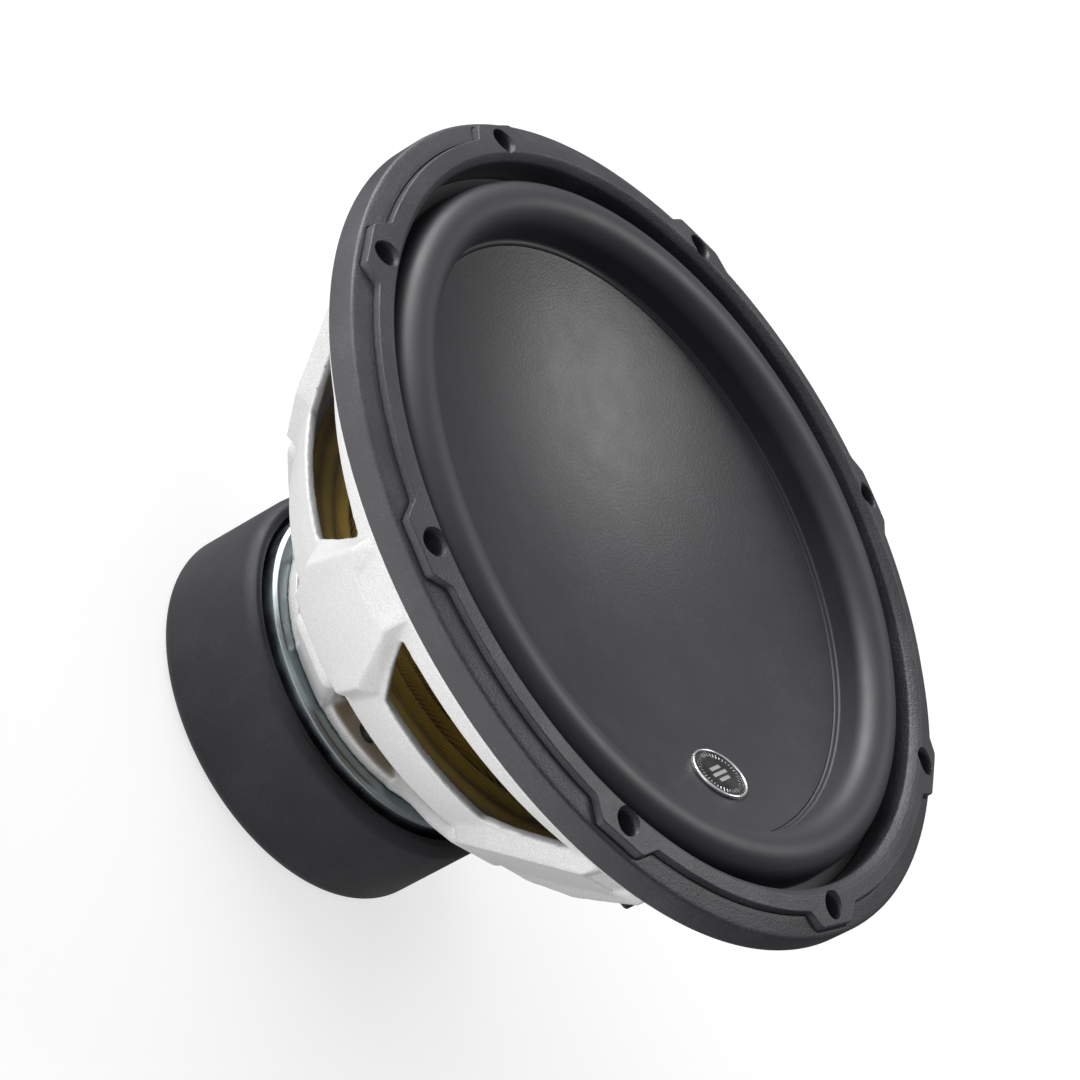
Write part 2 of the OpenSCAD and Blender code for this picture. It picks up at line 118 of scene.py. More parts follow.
def new_object(name, mesh):
    obj = bpy.data.objects.new(name, mesh)
    bpy.context.scene.collection.objects.link(obj)
    return obj


def finish_mesh(bm, name, sharp=35):
    """Closes a bmesh into an object with outward normals, smooth but for edges over the given angle."""
    bmesh.ops.remove_doubles(bm, verts=bm.verts, dist=2e-6)
    bmesh.ops.recalc_face_normals(bm, faces=bm.faces)
    for face in bm.faces:
        face.smooth = True
    mesh = bpy.data.meshes.new(name)
    bm.to_mesh(mesh)
    bm.free()
    mesh.set_sharp_from_angle(angle=math.radians(sharp))
    return new_object(name, mesh)


def sweep(bm, outline_at, steps, first, turn):
    """Turns a closed outline about Z; outline_at(angle in degrees) gives it. A part turn gets two end faces."""
    full = abs(turn - 360) < 1e-6
    rings = []
    for i in range(steps if full else steps + 1):
        angle = first + turn * i / steps
        c, s = math.cos(math.radians(angle)), math.sin(math.radians(angle))
        rings.append([bm.verts.new((r * c * MM, r * s * MM, z * MM)) for r, z in outline_at(angle)])
    size = len(rings[0])
    for i in range(steps):
        a, b = rings[i], rings[(i + 1) % len(rings)]
        for k in range(size):
            n = (k + 1) % size
            bm.faces.new((a[k], b[k], b[n], a[n]))
    if not full:
        bm.faces.new(rings[0])
        bm.faces.new(reversed(rings[-1]))


def revolve(name, outline, steps=256, first=0, turn=360, sharp=35):
    bm = bmesh.new()
    sweep(bm, lambda angle: outline, steps, first, turn)
    bmesh.ops.remove_doubles(bm, verts=bm.verts, dist=2e-6)
    flat = [f for f in bm.faces if f.calc_area() < 1e-14]
    bmesh.ops.delete(bm, geom=flat, context="FACES_ONLY")
    return finish_mesh(bm, name, sharp)


def tube_along(name, path, r, sides=12, steps=6, twist=None):
    """A closed tube along a smooth curve through the points of path, in millimetres."""
    points = []
    last = len(path) - 1
    for i in range(last):
        p0, p1, p2, p3 = (Vector(path[min(max(i + k, 0), last)]) for k in (-1, 0, 1, 2))
        for k in range(steps):
            t = k / steps
            points.append(0.5 * ((2 * p1) + (p2 - p0) * t + (2 * p0 - 5 * p1 + 4 * p2 - p3) * t * t
                                 + (3 * p1 - p0 - 3 * p2 + p3) * t ** 3))
    points.append(Vector(path[-1]))
    bm = bmesh.new()
    side = None
    rings = []
    for i, p in enumerate(points):
        ahead = (points[min(i + 1, len(points) - 1)] - points[max(i - 1, 0)]).normalized()
        if side is None:
            side = ahead.cross(Vector((0.3, 0.2, 1))).normalized()
        side = (side - ahead * side.dot(ahead)).normalized()
        up = ahead.cross(side)
        ring = []
        for k in range(sides):
            a = 2 * math.pi * k / sides
            swell = 1 if twist is None else 1 + 0.09 * math.cos(twist * a + i * 1.3)
            ring.append(bm.verts.new((p + (side * math.cos(a) + up * math.sin(a)) * r * swell) * MM))
        rings.append(ring)
    for a, b in zip(rings, rings[1:]):
        for k in range(sides):
            n = (k + 1) % sides
            bm.faces.new((a[k], a[n], b[n], b[k]))
    bm.faces.new(reversed(rings[0]))
    bm.faces.new(rings[-1])
    return finish_mesh(bm, name, 60)


def replace(obj, *nodes, body=None, material=None, slot=None):
    """The new piece stands for these CAD nodes, rides on a body and takes its material."""
    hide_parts(*nodes)
    if body:
        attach(obj, body)
    if material:
        obj.data.materials.clear()
        obj.data.materials.append(material)


# ---- materials ----

class Shader:
    """A Principled material with short calls for the nodes that its looks need."""

    def __init__(self, name, color, roughness, metallic=0.0):
        self.mat = bpy.data.materials.new(name)
        self.mat.use_nodes = True
        self.tree = self.mat.node_tree
        self.bsdf = self.tree.nodes["Principled BSDF"]
        self.bsdf.inputs["Base Color"].default_value = (*color, 1)
        self.bsdf.inputs["Roughness"].default_value = roughness
        self.bsdf.inputs["Metallic"].default_value = metallic
        self.coords = self.tree.nodes.new("ShaderNodeTexCoord").outputs["Object"]
        self.height = None

    def set(self, socket, value):
        self.bsdf.inputs[socket].default_value = value

    def noise(self, scale, detail=3.0, rough=0.5):
        node = self.tree.nodes.new("ShaderNodeTexNoise")
        node.inputs["Scale"].default_value = scale
        node.inputs["Detail"].default_value = detail
        node.inputs["Roughness"].default_value = rough
        self.tree.links.new(self.coords, node.inputs["Vector"])
        return node.outputs["Fac"]

    def cells(self, scale):
        node = self.tree.nodes.new("ShaderNodeTexVoronoi")
        node.inputs["Scale"].default_value = scale
        self.tree.links.new(self.coords, node.inputs["Vector"])
        return node.outputs["Distance"]

    def math(self, kind, a, b=0.0, c=0.0):
        node = self.tree.nodes.new("ShaderNodeMath")
        node.operation = kind
        for i, value in enumerate((a, b, c)):
            if isinstance(value, (int, float)):
                node.inputs[i].default_value = value
            else:
                self.tree.links.new(value, node.inputs[i])
        return node.outputs[0]

    def axis(self, which):
        node = self.tree.nodes.new("ShaderNodeSeparateXYZ")
        self.tree.links.new(self.coords, node.inputs[0])
        return node.outputs[which]

    def range(self, value, low, high, from_low=0.3, from_high=0.7):
        node = self.tree.nodes.new("ShaderNodeMapRange")
        self.tree.links.new(value, node.inputs["Value"])
        for key, number in (("From Min", from_low), ("From Max", from_high), ("To Min", low), ("To Max", high)):
            node.inputs[key].default_value = number
        return node.outputs["Result"]

    def colors(self, value, *stops):
        node = self.tree.nodes.new("ShaderNodeValToRGB")
        ramp = node.color_ramp
        while len(ramp.elements) < len(stops):
            ramp.elements.new(0.5)
        for element, (place, color) in zip(ramp.elements, stops):
            element.position = place
            element.color = (*color, 1)
        self.tree.links.new(value, node.inputs["Fac"])
        self.tree.links.new(node.outputs["Color"], self.bsdf.inputs["Base Color"])

    def roughness(self, value):
        self.tree.links.new(value, self.bsdf.inputs["Roughness"])

    def bump(self, value, distance, strength=1.0):
        node = self.tree.nodes.new("ShaderNodeBump")
        node.inputs["Distance"].default_value = distance
        node.inputs["Strength"].default_value = strength
        self.tree.links.new(value, node.inputs["Height"])
        if self.height is not None:
            self.tree.links.new(self.height, node.inputs["Normal"])
        self.height = node.outputs["Normal"]
        self.tree.links.new(self.height, self.bsdf.inputs["Normal"])
        return self


def rubber(name, dark, light, grain, grain_depth, rough=(0.5, 0.62), shine=0.42):
    """Matt moulded rubber: fine speckled grain, faint mottling and uneven dullness."""
    s = Shader(name, dark, rough[0])
    speckle = s.noise(grain, 2, 0.6)
    mottle = s.math("MULTIPLY_ADD", s.noise(38, 4, 0.6), 0.45, s.math("MULTIPLY", speckle, 0.55))
    deep = tuple(0.8 * value for value in dark)
    s.colors(mottle, (0.36, deep), (0.5, dark), (0.64, light))
    s.roughness(s.range(s.math("MULTIPLY_ADD", s.noise(90, 3), 0.5, s.math("MULTIPLY", speckle, 0.5)), *rough))
    s.bump(speckle, grain_depth)
    s.bump(s.cells(grain * 0.6), grain_depth * 0.5)
    s.set("Specular IOR Level", shine)
    return s.mat


def cast_silver():
    """Metallic silver paint over a casting: flakes, faint orange peel and slight shade changes."""
    s = Shader("cast_silver_paint", (0.8, 0.8, 0.79), 0.45, 0.2)
    flake = s.noise(2600, 2, 0.7)
    s.colors(flake, (0.3, (0.5, 0.5, 0.5)), (0.7, (0.84, 0.84, 0.835)))
    s.roughness(s.range(s.noise(700, 2), 0.36, 0.5))
    s.bump(flake, 0.00003)
    s.bump(s.noise(160, 3), 0.00005)
    s.set("Coat Weight", 0.25)
    s.set("Coat Roughness", 0.25)
    return s.mat


# The spider's waves, in millimetres
SPIDER_WAVES = 6
SPIDER_WAVE_H = 2.9
SPIDER_IN, SPIDER_OUT = 37.0, 87.0


def woven_cloth():
    """Resin-stiffened open weave: threads along X and Y, lighter where they cross, with a painted highlight
    along the waves' crests.
    """
    s = Shader("spider_weave", (0.3, 0.23, 0.03), 0.6)
    pitch = 2 * math.pi / 0.0011
    wave_x = s.math("SINE", s.math("MULTIPLY", s.axis(0), pitch))
    wave_y = s.math("SINE", s.math("MULTIPLY", s.axis(1), pitch))
    over = s.math("MULTIPLY", wave_x, wave_y)
    thread = s.math("MAXIMUM", s.math("ABSOLUTE", wave_x), s.math("ABSOLUTE", wave_y))
    weave = s.math("MULTIPLY_ADD", over, 0.35, thread)
    distance = s.math("SQRT", s.math("ADD", s.math("MULTIPLY", s.axis(0), s.axis(0)),
                                     s.math("MULTIPLY", s.axis(1), s.axis(1))))
    turns = 2000 * math.pi * SPIDER_WAVES / (SPIDER_OUT - SPIDER_IN)
    # Painted highlight: the colour is lightened along the crests of the spider's waves, in step with
    # spider_height
    painted_crest_highlight = s.math("SINE", s.math("MULTIPLY", s.math("SUBTRACT", distance, SPIDER_IN * MM), turns))
    mixed = s.math("MULTIPLY_ADD", s.noise(60, 3), 0.4, s.math("MULTIPLY_ADD", painted_crest_highlight, 0.26, weave))
    s.colors(mixed, (0.3, (0.04, 0.022, 0.002)), (0.85, (0.21, 0.12, 0.008)), (1.25, (0.55, 0.36, 0.04)))
    s.bump(weave, 0.00022)
    s.set("Sheen Weight", 0.2)
    return s.mat


def plated_steel(name, base, tint, rough=(0.24, 0.4)):
    """Plated steel: turning lines round the axis and a faintly clouded plating."""
    s = Shader(name, base, rough[0], 1.0)
    x, y = s.axis(0), s.axis(1)
    distance = s.math("SQRT", s.math("ADD", s.math("MULTIPLY", x, x), s.math("MULTIPLY", y, y)))
    turned = s.math("SINE", s.math("MULTIPLY_ADD", distance, 14000, s.math("MULTIPLY", s.noise(20), 9)))
    s.colors(s.noise(45, 4, 0.6), (0.3, base), (0.7, tint))
    s.roughness(s.range(s.noise(120, 3), *rough))
    s.bump(turned, 0.000006)
    s.bump(s.noise(900, 2), 0.00001)
    return s.mat


def plain_detail(name, dark, light, rough, metallic=0.0, grain=1500, depth=0.00002):
    """Shared look of the small parts: two close shades, uneven gloss and a fine grain."""
    s = Shader(name, dark, rough, metallic)
    s.colors(s.noise(130, 4, 0.6), (0.3, dark), (0.7, light))
    s.roughness(s.range(s.noise(400, 3), max(rough - 0.08, 0.05), rough + 0.08))
    s.bump(s.noise(grain, 2), depth)
    return s.mat


def braided(name):
    """Copper tinsel braid: two crossing spirals of strands along the lead."""
    s = Shader(name, (0.6, 0.33, 0.17), 0.4, 0.9)
    strands = s.math("SINE", s.math("MULTIPLY", s.math("ADD", s.axis(0), s.axis(2)), 9000))
    crossing = s.math("SINE", s.math("MULTIPLY", s.math("SUBTRACT", s.axis(1), s.axis(2)), 9000))
    weave = s.math("MULTIPLY", strands, crossing)
    s.colors(weave, (0.2, (0.25, 0.12, 0.06)), (0.8, (0.75, 0.45, 0.26)))
    s.bump(weave, 0.0001)
    return s.mat


MATERIALS = {
    "cast_silver": cast_silver(),
    "trim_rubber": rubber("trim_rubber_matt", (0.023, 0.0225, 0.029), (0.05, 0.049, 0.06), 1500, 0.00014,
                          (0.42, 0.52), 0.65),
    "surround_rubber": rubber("surround_rubber_smooth", (0.022, 0.0215, 0.0275), (0.03, 0.0295, 0.037), 2600,
                              0.000014, (0.44, 0.52), 0.6),
    "dish_poly": rubber("dish_moulded", (0.022, 0.0215, 0.0275), (0.036, 0.0355, 0.044), 1300, 0.00005,
                        (0.38, 0.45), 0.7),
    "boot_rubber": rubber("boot_rubber_matt", (0.017, 0.0165, 0.0215), (0.027, 0.0265, 0.033), 1300, 0.00009,
                          (0.52, 0.62), 0.4),
    "pressed_paper": plain_detail("pressed_pulp", (0.02, 0.02, 0.02), (0.04, 0.038, 0.036), 0.7, 0,
                                  700, 0.00015),
    "bright_metal": plain_detail("bright_plate", (0.75, 0.75, 0.76), (0.85, 0.85, 0.86), 0.2, 1.0),
    "badge_black": plain_detail("badge_enamel", (0.012, 0.012, 0.013), (0.02, 0.02, 0.022), 0.25),
    "spider_cloth": woven_cloth(),
    "former_film": plain_detail("former_film_amber", (0.38, 0.2, 0.06), (0.5, 0.28, 0.09), 0.35),
    "collar_paper": plain_detail("collar_kraft", (0.22, 0.12, 0.05), (0.33, 0.2, 0.1), 0.75, 0, 800, 0.0001),
    "coil_wire": plain_detail("enamelled_copper", (0.55, 0.2, 0.08), (0.75, 0.32, 0.14), 0.28, 0.9),
    "zinc_steel": plated_steel("zinc_plate_blue", (0.26, 0.3, 0.315), (0.34, 0.385, 0.4)),
    "ferrite": plain_detail("ground_ferrite", (0.05, 0.05, 0.054), (0.085, 0.085, 0.09), 0.55, 0.2,
                            900, 0.00006),
    "ring_aluminium": plain_detail("turned_aluminium", (0.7, 0.7, 0.71), (0.8, 0.8, 0.81), 0.3, 1.0),
    "screen_mesh": plain_detail("screen_black", (0.02, 0.02, 0.02), (0.04, 0.04, 0.04), 0.5, 0.5),
    "black_steel": plain_detail("black_oxide", (0.05, 0.05, 0.055), (0.09, 0.09, 0.095), 0.35, 0.9),
    "terminal_plastic": plain_detail("terminal_moulding", (0.018, 0.018, 0.019), (0.03, 0.03, 0.032), 0.5, 0,
                                     1300, 0.00006),
    "gold_plate": plain_detail("gold_plating", (0.75, 0.5, 0.16), (0.88, 0.63, 0.25), 0.25, 1.0),
    "tinsel_braid": braided("tinsel_braid_copper"),
    "button_red": plain_detail("button_red_moulding", (0.4, 0.012, 0.012), (0.5, 0.02, 0.02), 0.35),
    "button_black": plain_detail("button_black_moulding", (0.015, 0.015, 0.016), (0.028, 0.028, 0.03), 0.35),
    "spring_steel": plain_detail("spring_wire", (0.5, 0.5, 0.5), (0.65, 0.65, 0.65), 0.25, 1.0),
}


# ---- camera, light and floor ----

TARGET = Vector((14.3, 3.0, 127.4)) * MM
CAMERA_AZIMUTH = 101.93
CAMERA_HEIGHT_ANGLE = 30.16
CAMERA_ROLL = -60.88
CAMERA_DISTANCE = 1.8734
LENS = 175.08


def add_camera():
    a, e = math.radians(CAMERA_AZIMUTH), math.radians(CAMERA_HEIGHT_ANGLE)
    back = Vector((math.cos(a) * math.cos(e), math.sin(a) * math.cos(e), math.sin(e)))
    level = Vector((0, 0, 1)) - back * back.z
    level.normalize()
    across = (-back).cross(level)
    roll = math.radians(CAMERA_ROLL)
    up = level * math.cos(roll) + across * math.sin(roll)
    turned = Matrix(((-back).cross(up), up, back)).transposed()
    data = bpy.data.cameras.new("camera")
    data.lens = LENS
    data.sensor_width = 36
    data.clip_start = 0.05
    data.clip_end = 50
    cam = bpy.data.objects.new("camera", data)
    cam.matrix_world = Matrix.Translation(TARGET + back * CAMERA_DISTANCE) @ turned.to_4x4()
    bpy.context.scene.collection.objects.link(cam)
    bpy.context.scene.camera = cam
    return turned


def area_light(name, place, size, power):
    """A rectangular softbox aimed at the middle of the picture; size in metres, power in watts."""
    data = bpy.data.lights.new(name, "AREA")
    data.shape = "RECTANGLE"
    data.size, data.size_y = size
    data.energy = power
    light = bpy.data.objects.new(name, data)
    light.location = place
    light.rotation_mode = "QUATERNION"
    light.rotation_quaternion = (TARGET - Vector(place)).to_track_quat("-Z", "Y")
    bpy.context.scene.collection.objects.link(light)


def add_lights(axes):
    """Softboxes placed by the camera's own right, up and back directions, as in a studio."""
    right, up, back = (Vector(axes.col[i]) for i in range(3))
    area_light("softbox_top", TARGET + (-0.2 * right + 1.7 * up - 0.1 * back), (1.8, 0.9), 34)
    area_light("softbox_right", TARGET + (1.75 * right + 0.5 * up - 0.15 * back), (0.6, 0.7), 9)
    area_light("softbox_front", TARGET + (-0.5 * right + 0.9 * up + 1.6 * back), (1.0, 1.0), 3)


def add_world(axes):
    """White to the camera; as light, bright from above and the left of the picture and dim from below."""
    right, up, back = (Vector(axes.col[i]) for i in range(3))
    world = bpy.data.worlds.new("studio")
    bpy.context.scene.world = world
    world.use_nodes = True
    tree = world.node_tree
    light = tree.nodes["Background"]
    light.inputs["Color"].default_value = (1, 1, 1, 1)
    way = tree.nodes.new("ShaderNodeVectorMath")
    way.operation = "DOT_PRODUCT"
    way.inputs[1].default_value = (up * 0.9 - right * 0.3).normalized()
    ramp = tree.nodes.new("ShaderNodeMapRange")
    for key, value in (("From Min", -0.2), ("From Max", 0.95), ("To Min", 0.26), ("To Max", 0.74)):
        ramp.inputs[key].default_value = value
    seen = tree.nodes.new("ShaderNodeBackground")
    mix = tree.nodes.new("ShaderNodeMixShader")
    seen.inputs["Color"].default_value = (1, 1, 1, 1)
    coords = tree.nodes.new("ShaderNodeTexCoord").outputs["Generated"]
    rays = tree.nodes.new("ShaderNodeLightPath").outputs["Is Camera Ray"]
    for a, b in (
        (coords, way.inputs[0]),
        (way.outputs["Value"], ramp.inputs["Value"]),
        (ramp.outputs["Result"], light.inputs["Strength"]),
        (rays, mix.inputs["Fac"]),
        (light.outputs[0], mix.inputs[1]),
        (seen.outputs[0], mix.inputs[2]),
        (mix.outputs[0], tree.nodes["World Output"].inputs["Surface"]),
    ):
        tree.links.new(a, b)


def add_floor():
    """White where the camera sees it; as a light, a dark floor with a glow that grows towards +Y."""
    bm = bmesh.new()
    bmesh.ops.create_grid(bm, x_segments=2, y_segments=2, size=30)
    mesh = bpy.data.meshes.new("floor")
    bm.to_mesh(mesh)
    bm.free()
    floor = new_object("floor", mesh)
    floor.location.z = low_z("magnet_boot") * MM - 0.0002
    s = Shader("floor_white", (0.9, 0.9, 0.9), 0.9)
    s.set("Specular IOR Level", 0.05)
    rays = s.tree.nodes.new("ShaderNodeLightPath").outputs["Is Camera Ray"]
    s.colors(rays, (0.0, (0.06, 0.06, 0.06)), (1.0, (0.35, 0.35, 0.35)))
    across = s.math("MULTIPLY_ADD", s.axis(0), 0.1, s.axis(1))
    glow = s.range(across, 0.05, 1.9, -0.1, 0.4)
    strength = s.math("MULTIPLY_ADD", rays, s.math("SUBTRACT", 0.7, glow), glow)
    s.tree.links.new(strength, s.bsdf.inputs["Emission Strength"])
    s.set("Emission Color", (1, 1, 1, 1))
    s.bump(s.noise(3), 0.0002)
    mesh.materials.append(s.mat)


# ---- trim ring ----

SECTOR = 360 / BOLT_COUNT
PLATEAU_R = 144.3
GROOVE_R = 150.0
BOSS_R = 156.0
BOSS_HALF_TOP = 3.75
BOSS_HALF_BASE = 6.1
SCREW_HOLE_R = 4.7
PLATEAU_FALL = 0.21
SLOPE_FALL = 0.316
SLOPE_DROP = 3.6


def boss_edge(angle):
    """Radius of the plateau's outer edge at an angle from a screw hole, a trapezoid with eased corners."""
    def sharp(a):
        a = abs(a)
        if a <= BOSS_HALF_TOP:
            return BOSS_R * math.cos(math.radians(BOSS_HALF_TOP)) / math.cos(math.radians(a))
        share = (a - BOSS_HALF_TOP) / (BOSS_HALF_BASE - BOSS_HALF_TOP)
        return BOSS_R + (GROOVE_R - BOSS_R) * min(share, 1)
    ease = 0.3
    return sum(sharp(angle + ease * k / 3) for k in range(-3, 4)) / 7


def plateau_z(r):
    return FRONT_Z - PLATEAU_FALL * max(r - PLATEAU_R, 0)


def slope_z(r):
    return FRONT_Z - SLOPE_DROP - SLOPE_FALL * (r - GROOVE_R)


def trim_outline(angle):
    """The ring's section at an angle from a screw hole."""
    b = boss_edge(angle)
    zp, zs = plateau_z(b - 0.65), slope_z(b)
    inner = [(TRIM_BORE, FLANGE_TOP), (TRIM_BORE, FRONT_Z - 3.4), (TRIM_BORE + 0.15, FRONT_Z - 2.8),
             (TRIM_BORE + 0.6, FRONT_Z - 2.2), (PLATEAU_R - 1.2, FRONT_Z - 0.75),
             (PLATEAU_R - 0.5, FRONT_Z - 0.25), (PLATEAU_R, FRONT_Z - 0.04),
             (PLATEAU_R + 0.6, plateau_z(PLATEAU_R + 0.6) - 0.02)]
    top = [(r, plateau_z(r)) for r in (PLATEAU_R + 0.6 + (b - PLATEAU_R - 1.5) * k / 6 for k in range(1, 7))]
    step = [(b - 0.5, zp - 0.02), (b - 0.26, zp - 0.1), (b - 0.1, zp - 0.28), (b - 0.03, zp - 0.55),
            (b, zs - 0.4), (b + 0.06, zs - 0.7), (b + 0.2, zs - 0.85), (b + 0.4, zs - 0.8),
            (b + 0.54, zs - 0.5), (b + 0.64, zs - 0.22), (b + 0.82, slope_z(b + 0.82) - 0.04)]
    start, end = b + 1.0, TRIM_R - 1.3
    slope = [(r, slope_z(r)) for r in (start + (end - start) * k / 4 for k in range(5))]
    z_end = slope_z(end)
    edge = [(TRIM_R - 0.8, z_end - 0.22), (TRIM_R - 0.4, z_end - 0.5), (TRIM_R - 0.12, z_end - 0.95),
            (TRIM_R, z_end - 1.6)]
    wall = [(TRIM_R, FLANGE_TOP + 5), (TRIM_R - 0.05, FLANGE_TOP + 0.9), (TRIM_R - 0.25, FLANGE_TOP + 0.35),
            (TRIM_R - 0.8, FLANGE_TOP)]
    return inner + top + step + slope + edge + wall


def apply_boolean(obj, cutter):
    modifier = obj.modifiers.new("cut", "BOOLEAN")
    modifier.operation = "DIFFERENCE"
    modifier.solver = "EXACT"
    modifier.object = cutter
    bake_modifiers(obj)
    bpy.data.objects.remove(cutter)


def bake_modifiers(obj):
    """Replaces the object's mesh by the result of its modifiers."""
    graph = bpy.context.evaluated_depsgraph_get()
    mesh = bpy.data.meshes.new_from_object(obj.evaluated_get(graph))
    obj.modifiers.clear()
    obj.data = mesh


def trim_ring():
    """One eighth is swept and drilled, then copied round and welded."""
    half = SECTOR / 2
    bm = bmesh.new()
    sweep(bm, trim_outline, 200, -half, SECTOR)
    sector = finish_mesh(bm, "trim_sector", 40)
    hole = [(0, FLANGE_TOP - 2), (SCREW_HOLE_R, FLANGE_TOP - 2), (SCREW_HOLE_R, FRONT_Z - 3.2),
            (4.78, FRONT_Z - 2.3), (5.0, FRONT_Z - 1.7), (5.5, FRONT_Z - 1.1), (6.4, FRONT_Z + 3),
            (0, FRONT_Z + 3)]
    cutter = revolve("trim_cutter", hole, 64)
    cutter.data.transform(Matrix.Translation((BOLT_R * MM, 0, 0)))
    apply_boolean(sector, cutter)
    bm = bmesh.new()
    bm.from_mesh(sector.data)
    sides = [math.radians(side * half) for side in (-1, 1)]
    normals = [Vector((-math.sin(a), math.cos(a), 0)) for a in sides]
    ends = [f for f in bm.faces if any(all(abs(v.co.dot(n)) < 1e-6 for v in f.verts) for n in normals)]
    bmesh.ops.delete(bm, geom=ends, context="FACES")
    source = bm.verts[:] + bm.edges[:] + bm.faces[:]
    for k in range(1, int(BOLT_COUNT)):
        made = bmesh.ops.duplicate(bm, geom=source)["geom"]
        turn = Matrix.Rotation(math.radians(SECTOR * k), 3, "Z")
        verts = [v for v in made if isinstance(v, bmesh.types.BMVert)]
        bmesh.ops.rotate(bm, cent=(0, 0, 0), matrix=turn, verts=verts)
    ring = finish_mesh(bm, "trim_ring", 40)
    bpy.data.objects.remove(sector)
    replace(ring, "gasket", body=CHASSIS, material=MATERIALS["trim_rubber"], slot="trim_rubber")


# ---- surround, in two rings that meet at the crest of the roll ----

DISH_R = 115.2
WALL = 1.4
ROLL_R = 9.2
ROLL_AT = 126.5
ROLL_Z = SURROUND_TOP - ROLL_R
CREST_STEPS = 44


def surround():
    """Two rings, inner and outer, each turned about Z, that meet at the crest of the roll."""
    r_in, r_out = ROLL_AT - ROLL_R, ROLL_AT + ROLL_R
    foot = RIM_Z
    inner = (
        [(DISH_R + 0.25, foot), (r_in + WALL, foot), (r_in + WALL, foot + 1)]
        + arc(ROLL_AT, ROLL_Z, ROLL_R - WALL, 180, 90, CREST_STEPS)
        + arc(ROLL_AT, ROLL_Z, ROLL_R, 90, 180, CREST_STEPS)
        + [(r_in, foot + WALL + 1.2), (r_in - 0.15, foot + WALL + 0.5), (r_in - 0.6, foot + WALL + 0.1),
           (DISH_R + 1.2, foot + WALL), (DISH_R + 0.7, foot + WALL - 0.2), (DISH_R + 0.25, foot + WALL - 0.7)]
    )
    shelf = FLANGE_TOP
    outer = (
        arc(ROLL_AT, ROLL_Z, ROLL_R - WALL, 90, 0, CREST_STEPS)
        + [(r_out - WALL, shelf), (TRIM_BORE - 0.3, shelf), (TRIM_BORE - 0.3, shelf + WALL),
           (r_out + 0.8, shelf + WALL), (r_out + 0.2, shelf + WALL + 0.3), (r_out, shelf + WALL + 1)]
        + arc(ROLL_AT, ROLL_Z, ROLL_R, 0, 90, CREST_STEPS)
    )
    mirror = 2 * SURROUND_TOP - FLANGE_TOP
    for name, outline, start, end in (
        ("surround_inner", inner, FLANGE_TOP, mirror),
        ("surround_outer", outer, mirror, FLANGE_TOP),
    ):
        obj = revolve(name, outline, 320, sharp=50)
        replace(obj, "surround", material=MATERIALS["surround_rubber"], slot="surround_rubber")
        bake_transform(obj)


# ---- dish and badge ----

DISH_WALL = 2.0
RIM_TOP = high_z("dish_cone")
DISH_LOW = low_z("dish_cone") + DISH_WALL
SAG = RIM_TOP - DISH_LOW
DISH_CURVE = (DISH_R ** 2 + SAG ** 2) / (2 * SAG)
DISH_CENTRE = Vector((0, 0, (DISH_LOW + DISH_CURVE) * MM))


def dish():
    edge = math.degrees(math.asin(DISH_R / DISH_CURVE))
    cz = DISH_LOW + DISH_CURVE
    rim = RIM_Z - 0.05
    outline = (
        arc(0, cz, DISH_CURVE, 270, 270 + edge * 0.995, 90)
        + [(DISH_R - 0.15, RIM_TOP - 0.1), (DISH_R + 0.02, RIM_TOP - 0.35), (DISH_R + 0.05, rim)]
        + [(ROLL_AT - ROLL_R + WALL, rim), (ROLL_AT - ROLL_R + WALL, rim - 1.4), (DISH_R - 2, rim - 1.5)]
        + arc(0, cz, DISH_CURVE + DISH_WALL, 270 + edge * 0.98, 270, 60)
    )
    obj = revolve("dish", outline, 320, sharp=40)
    replace(obj, "dish_cone", body=MOVING, material=MATERIALS["dish_poly"], slot="dish_poly")


BADGE_R = 12.0


def badge_frame():
    """Matrix from a badge drawn upright at the origin, in millimetres, to its place on the dish."""
    lo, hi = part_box("badge_bezel")
    centre = (lo + hi) / 2
    normal = (DISH_CENTRE - centre).normalized()
    base = DISH_CENTRE - normal * (DISH_CURVE - 0.16) * MM
    # The rim of the flat back rests on the dish, so the middle stands off it a little
    sag = DISH_CURVE - math.sqrt(DISH_CURVE ** 2 - BADGE_R ** 2)
    base += normal * sag * MM
    turn = normal.to_track_quat("Z", "Y").to_matrix().to_4x4()
    return Matrix.Translation(base) @ turn


